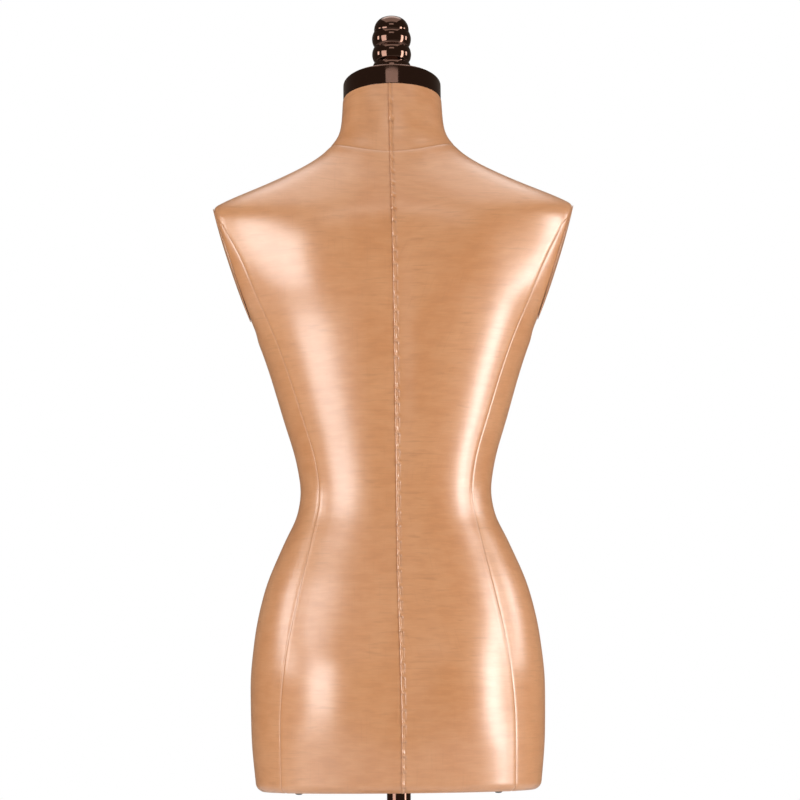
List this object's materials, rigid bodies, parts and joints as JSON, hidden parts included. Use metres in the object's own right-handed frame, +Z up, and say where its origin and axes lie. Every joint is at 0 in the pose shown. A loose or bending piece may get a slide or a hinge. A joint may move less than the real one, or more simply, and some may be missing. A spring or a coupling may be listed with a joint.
{
  "type": "dress form mannequin",
  "caption": "Armless and headless women's dress form in amber linen with a dark metal neck cap and finial, on a height-adjustable pole and a round base.",
  "frame": {"origin": "centre of the base on the floor, under the pole's axis", "axes": "+Z up along the pole, the torso's front faces -Y, its left side is at +X"},
  "size_m": [0.391, 0.34, 1.5995],
  "materials": {
    "linen": "glazed amber linen with fine slubs",
    "shell": "moulded glass-fibre shell",
    "timber": "birch plywood",
    "dark_chrome": "polished black nickel",
    "steel": "zinc plated",
    "brass": "turned",
    "nylon": "natural nylon",
    "black_plastic": "moulded black plastic",
    "black_paint": "satin black powder coat on steel",
    "rubber": "black rubber"
  },
  "bodies": {
    "stand": {"base_plate": "black_paint", "base_pad_1": "rubber", "base_pad_2": "rubber", "base_pad_3": "rubber", "base_pad_4": "rubber", "base_flange": "dark_chrome", "flange_screw_1": "steel", "flange_screw_2": "steel", "flange_screw_3": "steel", "base_bolt": "steel", "base_washer": "steel", "tube_plug": "steel", "outer_tube": "dark_chrome", "guide_bush": "nylon", "clamp_collar": "dark_chrome"},
    "clamp_pad": {"clamp_pad": "brass"},
    "clamp_knob": {"clamp_knob": "black_plastic", "clamp_stud": "steel"},
    "pole": {"inner_pole": "dark_chrome", "pole_foot": "nylon", "pole_pivot": "steel"},
    "torso": {"body_shell": "shell", "cover_back_left": "linen", "cover_back_right": "linen", "cover_side_back_left": "linen", "cover_side_back_right": "linen", "cover_side_front_left": "linen", "cover_side_front_right": "linen", "cover_front_left": "linen", "cover_front_right": "linen", "neck_cover": "linen", "armhole_plate_left": "linen", "armhole_plate_right": "linen", "neck_block": "timber", "t_nut": "steel", "pivot_cup": "brass", "neck_cap": "dark_chrome", "finial_seat": "dark_chrome", "bottom_board": "timber", "board_bush": "nylon", "glide_1": "black_plastic", "glide_2": "black_plastic", "glide_3": "black_plastic", "glide_4": "black_plastic"},
    "finial_washer": {"finial_washer": "nylon"},
    "finial": {"finial": "dark_chrome", "finial_stud": "steel"}
  },
  "joints": [
    {"name": "clamp_travel", "type": "slide", "parent": "stand", "child": "clamp_pad", "axis": [1, 0, 0], "range_m": [0, 0.0025]},
    {"name": "clamp_turn", "type": "hinge", "parent": "clamp_pad", "child": "clamp_knob", "pos_m": [0, 0, 0.675], "axis": [1, 0, 0], "range_deg": [0, 720]},
    {"name": "height_slide", "type": "slide", "parent": "stand", "child": "pole", "axis": [0, 0, 1], "range_m": [-0.05, 0.2]},
    {"name": "torso_swivel", "type": "hinge", "parent": "pole", "child": "torso", "pos_m": [0, 0, 1.4], "axis": [0, 0, 1], "continuous": true},
    {"name": "finial_lift", "type": "slide", "parent": "torso", "child": "finial_washer", "axis": [0, 0, 1], "range_m": [0, 0.02]},
    {"name": "finial_turn", "type": "hinge", "parent": "finial_washer", "child": "finial", "pos_m": [0, 0, 1.55], "axis": [0, 0, 1], "range_deg": [0, 5760]}
  ],
  "couplings": [
    {"joint": "clamp_travel", "follows": "clamp_turn", "m_per_rad": 0.00019894},
    {"joint": "finial_lift", "follows": "finial_turn", "m_per_rad": 0.00019894}
  ]
}
